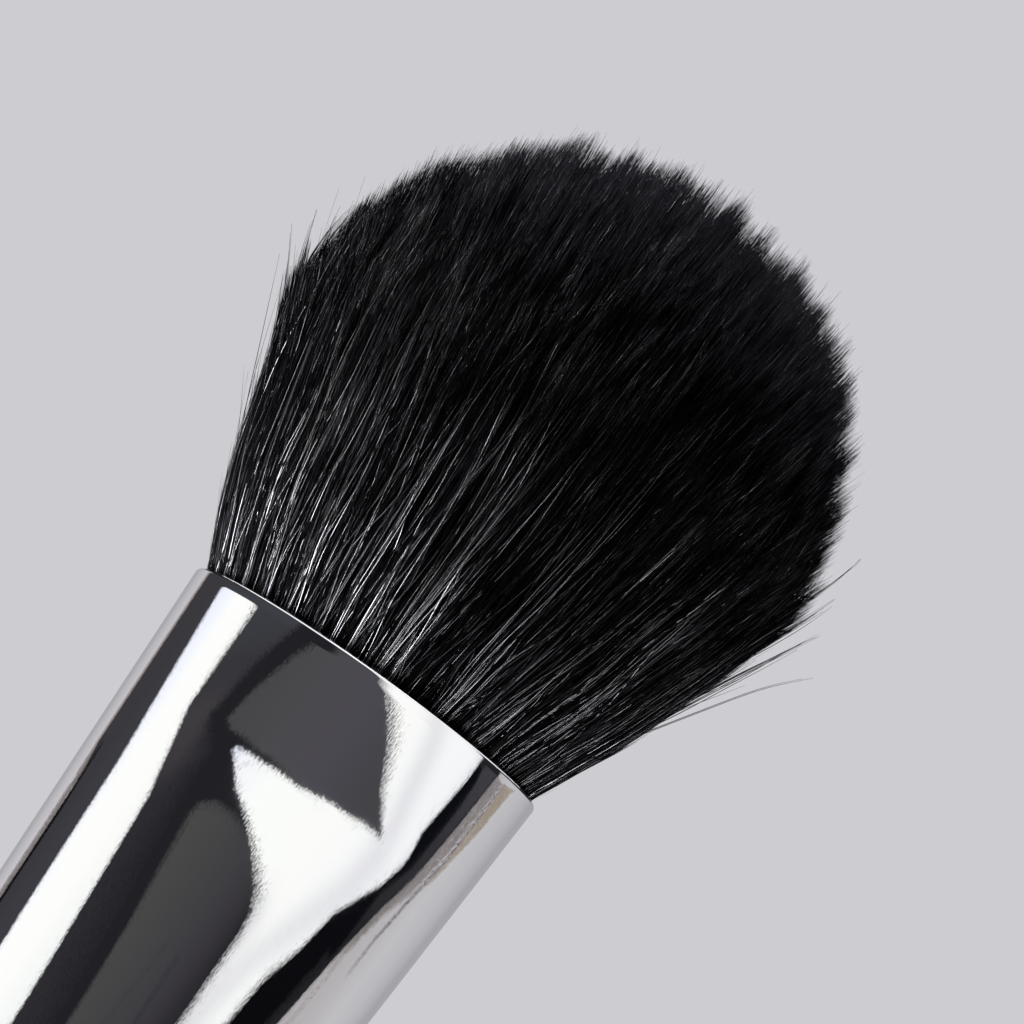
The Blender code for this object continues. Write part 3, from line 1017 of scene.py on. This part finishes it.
def grey_shade(azimuth, height):
    """Grey that lightens up the card, with painted light from the strip light on the part beside it."""
    up = blend(True, (60, (46, 44, 49)), (112, (45, 44, 48)), (128, (45, 44, 48)), (140, (50, 49, 53)), (150, (58, 59, 64)), (170, (62, 63, 68)))(azimuth, height)
    # painted light that spills from the strip light onto the grey card beside it
    near = smooth(-58, -68, azimuth) * smooth(118, 128, height) * smooth(145, 134, height)
    return up + near[:, None] * (seen(61, 58, 62) - seen(45, 44, 48))


def make_cards(hard):
    """The cards and cloths that the plating and the lacquer mirror, from the back to the front."""
    material = card_material()

    def add(name, layer, outline, shade):
        panel(name, hard, layer, outline, shade, material)

    def edge(line, soft=1):
        return [(a, z, soft) for a, z in line]

    add("room_card", -40, edge([(-180, 1), (180, 1), (180, 560), (-180, 560)]), plain(33, 33, 37))
    add("sky_card", -42, [(-180, 480, 60), (180, 480, 60), (180, 1500, 1), (-180, 1500, 1)], plain(240, 241, 245))
    # the pale backdrop, from the cloth's edge on the right round behind the brush to the left
    add(
        "backdrop_card", 0,
        edge(CLOTH_EDGE + [(224, 300), (222, 175), (222, 150), (229, 138), (229.5, 1)]),
        blend(False, (70, (170, 166, 168)), (96, (181, 178, 181)), (112, (190, 189, 193)), (128, (184, 184, 188)), (141, (172, 172, 177)), (150, (160, 160, 165)), (200, (165, 165, 170)), (207, (179, 178, 184)), (216, (190, 188, 193)), (226, (203, 199, 203))),
    )
    add("cloth_hem", 1, edge(CLOTH_EDGE[:9]) + edge([(106, 175), (106, 163), (105, 151), (100, 140), (93, 133), (87, 122), (80, 107), (72.5, 85), (47, 1)], 3), blend(True, (112, (178, 174, 175)), (119, (172, 168, 168)), (125, (136, 131, 131)), (142, (130, 124, 125)), (152, (122, 116, 117)), (160, (128, 122, 122)), (170, (142, 136, 136))))
    add("cloth_seam", 2, ribbon(CLOTH_SEAM, 3.6, 5), blend(True, (100, (118, 112, 112)), (128, (92, 84, 80)), (138, (110, 104, 99)), (147, (165, 159, 158)), (158, (172, 166, 166))))
    add("cloth_beige", 1, edge(CLOTH_FOLD[2:]) + edge(PALE_EDGE[::-1], 2), blend(True, (139, (166, 160, 160)), (146, (152, 142, 134)), (165, (150, 139, 126)), (175, (158, 150, 138))))
    # a ribbon that darkens along the cloth's fold: painted shade in the fold
    add("cloth_fold", 3, ribbon(CLOTH_FOLD, 3.4, 2), blend(True, (124, (150, 148, 152)), (132, (92, 86, 92)), (142, (58, 50, 56)), (156, (84, 70, 74)), (163, (108, 96, 98))))
    # left: a brown card, a gap between cards that shows as a dark line, and a dark flag
    add("brown_card", 1, [(220, 1, 3), (220.5, 136, 3), (218.5, 150, 2), (218.5, 300, 2), (223.5, 300, 1), (223.5, 148, 1), (228.5, 141, 1), (229.5, 1, 1)], blend(False, (219, (168, 163, 165)), (222, (138, 132, 131)), (229, (98, 91, 89))))
    add("dark_gap", 0, [(-131.5, 1, 1), (-132, 141, 1), (-133, 147, 1), (-129.5, 145, 2), (-126.5, 132, 2), (-125.5, 1, 2)], plain(15, 15, 17))
    add("dark_flag", -1, edge([(-131, 1), (-131, 140), (-137.5, 150), (-137.5, 300), (-98, 300), (-94, 1)]), blend(False, (-137, (58, 56, 60)), (-122, (57, 57, 61)), (-105, (60, 60, 66))))
    add("grey_card", 2, GREY_CARD, grey_shade)
    add("strip_light", 4, STRIP_CARD, blend(False, (-113, (236, 240, 254)), (-104, (244, 247, 254)), (-97, (253, 254, 252)), (-78, (252, 253, 250)), (-62, (244, 246, 246))))
    # in front: two grey cards
    add("middle_card", 4, MIDDLE_CARD, blend(False, (-55, (70, 70, 71)), (-20, (74, 73, 77)), (5, (75, 73, 80)), (30, (68, 67, 72)), (55, (64, 63, 68))))
    add("low_card", 4, LOW_CARD, blend(False, (-41, (73, 73, 73)), (-22, (69, 69, 70)), (0, (62, 61, 65)), (12, (55, 53, 58)), (20, (42, 41, 46))))
    # darker ribbons along the low card's two creases: painted shade in the creases
    for name, line, width, colour in (
        ("low_card_crease_1", [(-12, 60), (-11, 80), (-8, 93)], 3.0, (48, 47, 51)),
        ("low_card_crease_2", [(3, 60), (3.5, 81), (1.6, 92.5)], 4.0, (50, 49, 54)),
    ):
        add(name, 5, ribbon(line, width, 5), plain(*colour))
    # right: black cloth, a grey one over it, and the white card
    add("black_cloth", 3, [(40, 1, 1), (44, 160, 1), (83.5, 158, 2), (87.5, 155.5, 3), (88.3, 147, 3), (87, 139, 3), (80, 131, 3), (80, 121, 1), (74, 104, 1), (67, 85, 1), (44, 1, 1)], blend(True, (80, (10, 10, 13)), (155, (12, 13, 17))))
    add("grey_cloth", 2, [(84, 175, 3), (83, 157, 3), (87, 152, 3), (86, 140, 3), (78, 130, 3), (80, 121, 1)] + edge(CLOTH_EDGE[4:-1]), blend(True, (120, (24, 24, 27)), (131, (43, 42, 45)), (145, (50, 49, 54)), (160, (62, 61, 66))))
    # a darker ribbon down the cloth's crease: painted shade in the crease
    add("cloth_crease", 4, ribbon([(64, 60), (71, 100), (74.5, 112), (76.5, 118)], 6.0, 6), plain(39, 39, 41))
    add("white_card", 6, WHITE_CARD, white_shade)


# azimuth and glow, 0 to 255, of the glowing cards and cloths that lie on the floor
FLOOR_STOPS = [
    (-180, 226), (-164, 190), (-150, 120), (-143, 62), (-131, 20), (-127, 58), (-98, 46), (-93, 250),
    (-58, 250), (-52, 34), (-24, 40), (-16, 84), (12, 70), (21, 58), (26, 250), (46, 244), (51, 18),
    (64, 24), (72, 150), (100, 196), (128, 168), (136, 58), (152, 44), (158, 238), (180, 226),
]


def make_floor_cards(mirrors):
    """The cards and cloths on the floor, as a glowing ring that only the plating and the lacquer see, in their
    reflections where they are seen from above.
    """
    azimuth = np.arange(-180, 180, 1.0)
    turn = np.radians(azimuth)
    value = np.interp(azimuth, [s[0] for s in FLOOR_STOPS], [s[1] for s in FLOOR_STOPS])
    glow = ((value / 255 + 0.055) / 1.055) ** 2.4 / 0.93
    verts, shades, faces = [], [], []
    # darker close to the butt, where little light comes in
    radii, light = (0.0075, 0.010, 0.014, 0.022, 0.12, 0.35, 0.598), (0.15, 0.4, 0.75, 1, 1, 1, 1)
    count = len(turn)
    for radius, share in zip(radii, light):
        verts.append(np.stack([radius * np.sin(turn), -radius * np.cos(turn), np.full(count, 0.0003)], 1))
        shades.append(np.stack([glow * share, glow * share, glow * share * 1.03, np.ones(count)], 1))
    for ring in range(len(radii) - 1):
        for k in range(count):
            a, b = ring * count + k, ring * count + (k + 1) % count
            faces.append((a, b, b + count, a + count))
    mesh = bpy.data.meshes.new("floor_cards")
    mesh.from_pydata(np.concatenate(verts).tolist(), [], faces)
    layer = mesh.attributes.new("shade", "FLOAT_COLOR", "POINT")
    layer.data.foreach_set("color", np.concatenate(shades).astype(np.float32).ravel())
    made = bpy.data.materials.new("floor_card")
    made.use_nodes = True
    nodes, links = made.node_tree.nodes, made.node_tree.links
    nodes.remove(nodes["Principled BSDF"])
    colour = nodes.new("ShaderNodeAttribute")
    colour.attribute_name = "shade"
    lit = nodes.new("ShaderNodeEmission")
    links.new(colour.outputs["Color"], lit.inputs["Color"])
    links.new(lit.outputs[0], nodes["Material Output"].inputs["Surface"])
    mesh.materials.append(made)
    piece = bpy.data.objects.new("floor_cards", mesh)
    bpy.context.scene.collection.objects.link(piece)
    piece.visible_camera = False
    piece.visible_diffuse = False
    piece.visible_shadow = False
    piece.visible_transmission = False
    piece.visible_volume_scatter = False
    piece.light_linking.receiver_collection = mirrors


def area_light(name, lights, place, target, size, radiance, colour=(1, 1, 1)):
    """A rectangular lamp of this radiance that lights only the pieces in one collection."""
    data = bpy.data.lights.new(name, "AREA")
    data.shape = "RECTANGLE"
    data.size, data.size_y = size
    data.energy = radiance * math.pi * size[0] * size[1]
    data.color = colour
    lamp = bpy.data.objects.new(name, data)
    lamp.location = place
    lamp.rotation_mode = "QUATERNION"
    lamp.rotation_quaternion = (Vector(target) - Vector(place)).to_track_quat("-Z", "Y")
    bpy.context.scene.collection.objects.link(lamp)
    lamp.visible_camera = False
    lamp.light_linking.receiver_collection = lights
    return lamp


def round_light(name, lights, azimuth, distance, height, size, radiance, colour=(1, 1, 1)):
    """An area light at an azimuth round the head, facing it."""
    t = math.radians(azimuth)
    place = (distance * math.sin(t), -distance * math.cos(t), height)
    return area_light(name, lights, place, (0, 0, 0.150), size, radiance, colour)


def make_floor():
    """Pale floor that fades into the pale backdrop. Reflection rays see it in a darker grey, a painted darkness in its
    reflections.
    """
    bpy.ops.mesh.primitive_circle_add(vertices=128, radius=6.0, fill_type="NGON")
    floor = bpy.context.object
    floor.name = "floor"
    made = bpy.data.materials.new("pale_floor")
    made.use_nodes = True
    nodes, links = made.node_tree.nodes, made.node_tree.links
    shader = nodes["Principled BSDF"]
    shader.inputs["Base Color"].default_value = (0.84, 0.835, 0.855, 1)
    shader.inputs["Roughness"].default_value = 0.75
    shader.inputs["Specular IOR Level"].default_value = 0.2
    where = nodes.new("ShaderNodeTexCoord")
    length = nodes.new("ShaderNodeVectorMath")
    length.operation = "LENGTH"
    links.new(where.outputs["Object"], length.inputs[0])
    fade = nodes.new("ShaderNodeMapRange")
    fade.interpolation_type = "SMOOTHSTEP"
    fade.inputs["From Min"].default_value = 0.35
    fade.inputs["From Max"].default_value = 1.6
    links.new(length.outputs["Value"], fade.inputs["Value"])
    glow = nodes.new("ShaderNodeEmission")
    glow.inputs["Color"].default_value = (*PALE, 1)
    mix = nodes.new("ShaderNodeMixShader")
    links.new(fade.outputs["Result"], mix.inputs["Fac"])
    links.new(shader.outputs[0], mix.inputs[1])
    links.new(glow.outputs[0], mix.inputs[2])
    # what reflection rays see of the floor: painted darkness, darker than the floor looks
    dark = nodes.new("ShaderNodeBsdfDiffuse")
    dark.inputs["Color"].default_value = (0.12, 0.12, 0.125, 1)
    path = nodes.new("ShaderNodeLightPath")
    either = nodes.new("ShaderNodeMixShader")
    links.new(path.outputs["Is Glossy Ray"], either.inputs["Fac"])
    links.new(mix.outputs[0], either.inputs[1])
    links.new(dark.outputs[0], either.inputs[2])
    links.new(either.outputs[0], nodes["Material Output"].inputs["Surface"])
    floor.data.materials.append(made)
    return floor


def make_world():
    world = bpy.data.worlds.new("studio")
    world.use_nodes = True
    nodes, links = world.node_tree.nodes, world.node_tree.links
    seen = nodes["Background"]
    seen.inputs["Color"].default_value = (*PALE, 1)
    room = nodes.new("ShaderNodeBackground")
    room.inputs["Color"].default_value = (0.9, 0.92, 1.0, 1)
    room.inputs["Strength"].default_value = 0.02
    path = nodes.new("ShaderNodeLightPath")
    mix = nodes.new("ShaderNodeMixShader")
    links.new(path.outputs["Is Camera Ray"], mix.inputs["Fac"])
    links.new(room.outputs[0], mix.inputs[1])
    links.new(seen.outputs[0], mix.inputs[2])
    links.new(mix.outputs[0], nodes["World Output"].inputs["Surface"])
    bpy.context.scene.world = world


def make_lights(hard, hair):
    area_light("overhead", hard, (0.0, 0.1, 1.7), (0, 0, 0), (1.6, 1.6), 2.6)
    # the strip light, as the hair is lit by it
    round_light("key", hair, -84, 0.60, 0.213, (0.42, 0.17), 20.0, BLUISH)
    round_light("mid_key", hair, -82, 0.45, 0.038, (0.25, 0.10), 3.0, BLUISH)
    round_light("low_key", hair, -86, 0.14, 0.045, (0.12, 0.10), 48.0, BLUISH)
    # the white card on the right, and what comes from below it and from the front
    round_light("right", hair, 84, 0.60, 0.213, (0.30, 0.17), 4.0, BLUISH)
    round_light("mid_right", hair, 82, 0.45, 0.038, (0.25, 0.10), 1.5, BLUISH)
    round_light("low_right", hair, 82, 0.14, 0.045, (0.12, 0.09), 19.0, BLUISH)
    round_light("low_front", hair, 0, 0.12, 0.034, (0.12, 0.040), 7.0, BLUISH)
    # above
    round_light("fill", hair, -40, 0.60, 0.750, (0.7, 0.5), 4.2, BLUISH)
    round_light("high_key", hair, -60, 0.60, 0.480, (0.20, 0.12), 28.0, BLUISH)
    round_light("top", hair, 170, 0.80, 0.70, (0.8, 0.5), 0.8, BLUISH)


def main():
    bpy.context.scene.view_settings.view_transform = "Standard"
    make_camera()
    make_world()
    floor = make_floor()
    ferrule = make_ferrule(chrome_material())
    handle = make_handle(lacquer_material())
    hair = hair_materials()
    tuft = [make_core(core_material()), *make_hair(hair)]
    tuft += [*make_cover(hair), make_dome_cover(hair), make_strays(hair)]
    for node, material in (
        (
            "tenon_adhesive",
            adhesive_material("wood_glue", (0.82, 0.76, 0.60), (0.62, 0.54, 0.36), 0.42, 900),
        ),
        (
            "root_adhesive",
            adhesive_material("epoxy", (0.68, 0.55, 0.30), (0.45, 0.32, 0.12), 0.22, 500),
        ),
        ("binding_thread", thread_material()),
    ):
        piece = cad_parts[node]
        piece.data.materials.clear()
        piece.data.materials.append(material)
    inside = [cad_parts[n] for n in ("tenon_adhesive", "root_adhesive", "binding_thread")]
    hard_group = group("lit_by_cards", [ferrule, handle, floor, *inside])
    hair_group = group("lit_by_hair_lights", tuft)
    make_cards(hard_group)
    make_floor_cards(group("mirrors_floor", [ferrule, handle]))
    make_lights(hard_group, hair_group)


main()
